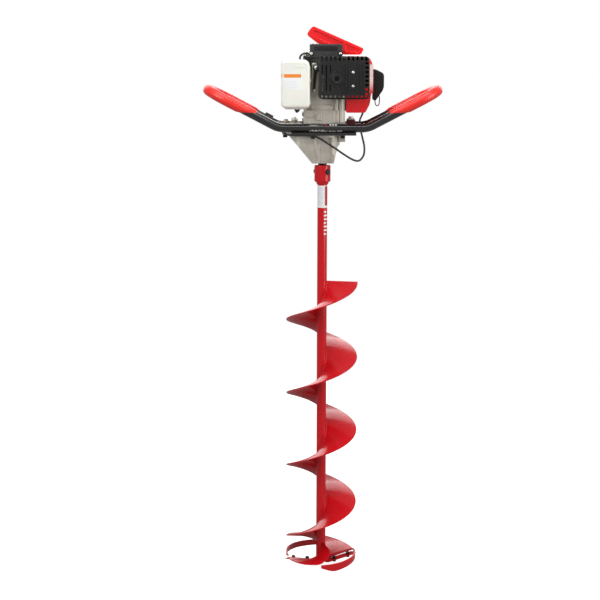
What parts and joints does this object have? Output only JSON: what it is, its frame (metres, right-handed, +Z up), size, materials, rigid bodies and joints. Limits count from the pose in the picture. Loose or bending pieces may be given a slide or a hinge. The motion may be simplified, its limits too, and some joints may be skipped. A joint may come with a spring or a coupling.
{
  "type": "ice fishing auger",
  "caption": "Two-handed power ice auger: helical flight with two blades on a tube, reduction gearbox, closed handlebar loop with dipped grips and a small recoil-start engine.",
  "frame": {"origin": "on the auger's spin axis, level with the lower rims of the centering bands", "axes": "+Z up along the auger to the engine, -Y the muffler side, +X the cylinder side"},
  "size_m": [0.6102, 0.224, 1.424],
  "materials": {
    "red_paint": "gloss powder coat",
    "red_plastic": "moulded",
    "red_vinyl": "dipped vinyl",
    "black_paint": "gloss",
    "black_plastic": "moulded",
    "black_rubber": "smooth",
    "cast_aluminium": "sand cast",
    "machined_steel": "machined",
    "blade_steel": "ground",
    "dark_steel": "oxide",
    "zinc_steel": "zinc plated",
    "tank_plastic": "natural blow moulded",
    "ceramic": "glazed",
    "rope": "braided"
  },
  "bodies": {
    "frame": {"gearbox_housing": "cast_aluminium", "gearbox_bolts": "dark_steel", "gearbox_cover": "cast_aluminium", "gear_bearings": "machined_steel", "oil_seal": "black_rubber", "handlebar_loop": "black_paint", "handlebar_plate": "black_paint", "handlebar_blocks": "dark_steel", "left_grip": "red_vinyl", "right_grip": "red_vinyl", "clutch_housing": "cast_aluminium", "crankcase": "cast_aluminium", "crank_bearings": "machined_steel", "engine_cylinder": "cast_aluminium", "spark_plug": "ceramic", "plug_cover": "black_plastic", "plug_lead": "black_rubber", "cylinder_shroud": "red_plastic", "muffler": "dark_steel", "muffler_guard": "black_plastic", "guard_screws": "zinc_steel", "guard_bracket": "dark_steel", "fuel_tank": "tank_plastic", "tank_bracket": "dark_steel", "fuel_line": "black_rubber", "intake_block": "black_plastic", "carburetor": "cast_aluminium", "air_cleaner": "black_plastic", "fan_housing": "black_plastic", "recoil_housing": "black_plastic", "throttle_clamp": "black_plastic", "control_cable": "black_rubber"},
    "auger": {"auger_tube": "red_paint", "auger_flight": "red_paint", "second_flight": "red_paint", "blade_holders": "red_paint", "centering_bands": "red_paint", "ice_blades": "blade_steel", "blade_bolts": "dark_steel", "centre_point": "dark_steel", "coupler": "red_paint", "coupler_bolt": "dark_steel", "output_shaft": "machined_steel", "output_gear": "machined_steel"},
    "idler": {"idler_gears": "machined_steel"},
    "drum": {"drum_pinion": "machined_steel"},
    "crank": {"crankshaft": "machined_steel", "flywheel_fan": "cast_aluminium"},
    "shoe_a": {"clutch_shoe_a": "machined_steel"},
    "shoe_b": {"clutch_shoe_b": "machined_steel"},
    "piston_body": {"piston": "cast_aluminium"},
    "cap": {"fuel_cap": "black_plastic"},
    "throttle_shaft": {"throttle_arm": "machined_steel"},
    "primer": {"primer_bulb": "red_plastic"},
    "choke": {"choke_lever": "black_plastic"},
    "switch": {"stop_switch": "red_plastic"},
    "pulley": {"recoil_pulley": "black_plastic"},
    "grip": {"recoil_grip": "red_plastic", "recoil_rope": "rope"},
    "lever": {"throttle_lever": "red_plastic"}
  },
  "joints": [
    {"name": "auger_spin", "type": "hinge", "parent": "frame", "child": "auger", "pos_m": [0, 0, 0], "axis": [0, 0, 1], "continuous": true},
    {"name": "idler_spin", "type": "hinge", "parent": "frame", "child": "idler", "pos_m": [-0.045, 0, 1.13], "axis": [0, 0, 1], "continuous": true},
    {"name": "drum_spin", "type": "hinge", "parent": "frame", "child": "drum", "pos_m": [0, 0, 1.15], "axis": [0, 0, 1], "continuous": true},
    {"name": "crank_spin", "type": "hinge", "parent": "frame", "child": "crank", "pos_m": [0, 0, 1.25], "axis": [0, 0, 1], "continuous": true},
    {"name": "shoe_a_throw", "type": "slide", "parent": "crank", "child": "shoe_a", "axis": [0, 1, 0], "range_m": [0, 0.0013], "stiffness_N_per_m": 4000},
    {"name": "shoe_b_throw", "type": "slide", "parent": "crank", "child": "shoe_b", "axis": [0, -1, 0], "range_m": [0, 0.0013], "stiffness_N_per_m": 4000},
    {"name": "piston_stroke", "type": "slide", "parent": "frame", "child": "piston_body", "axis": [1, 0, 0], "range_m": [-0.012, 0.012]},
    {"name": "cap_turn", "type": "hinge", "parent": "frame", "child": "cap", "pos_m": [-0.084, -0.0339, 1.308], "axis": [0, 1, 0], "range_deg": [0, 360]},
    {"name": "throttle_squeeze", "type": "hinge", "parent": "frame", "child": "lever", "pos_m": [-0.14197, 0.036, 1.17449], "axis": [-0.4617, 0, -0.887], "range_deg": [0, 14], "stiffness_Nm_per_rad": 0.6, "springref_deg": -20.05},
    {"name": "carb_throttle", "type": "hinge", "parent": "frame", "child": "throttle_shaft", "pos_m": [0.084, 0.064, 1.28], "axis": [0, 0, 1], "range_deg": [0, 70]},
    {"name": "primer_press", "type": "slide", "parent": "frame", "child": "primer", "axis": [1, 0, 0], "range_m": [0, 0.005], "stiffness_N_per_m": 400},
    {"name": "choke_turn", "type": "hinge", "parent": "frame", "child": "choke", "pos_m": [0.04, 0.1, 1.282], "axis": [1, 0, 0], "range_deg": [0, 75]},
    {"name": "switch_rock", "type": "hinge", "parent": "frame", "child": "switch", "pos_m": [-0.009, 0.0583, 1.318], "axis": [1, 0, 0], "range_deg": [0, 15]},
    {"name": "recoil_pull", "type": "slide", "parent": "frame", "child": "grip", "axis": [0.3907, 0, 0.9205], "range_m": [0, 0.9], "stiffness_N_per_m": 12, "springref_m": -0.4, "deforming": ["recoil_rope"]},
    {"name": "pulley_spin", "type": "hinge", "parent": "frame", "child": "pulley", "pos_m": [0, 0, 1.338], "axis": [0, 0, 1], "range_deg": [-5, 1750]}
  ],
  "couplings": [
    {"joint": "idler_spin", "follows": "auger_spin", "ratio": -5},
    {"joint": "drum_spin", "follows": "auger_spin", "ratio": 25},
    {"joint": "carb_throttle", "follows": "throttle_squeeze", "ratio": 5},
    {"joint": "pulley_spin", "follows": "recoil_pull", "rad_per_m": 33.333}
  ]
}
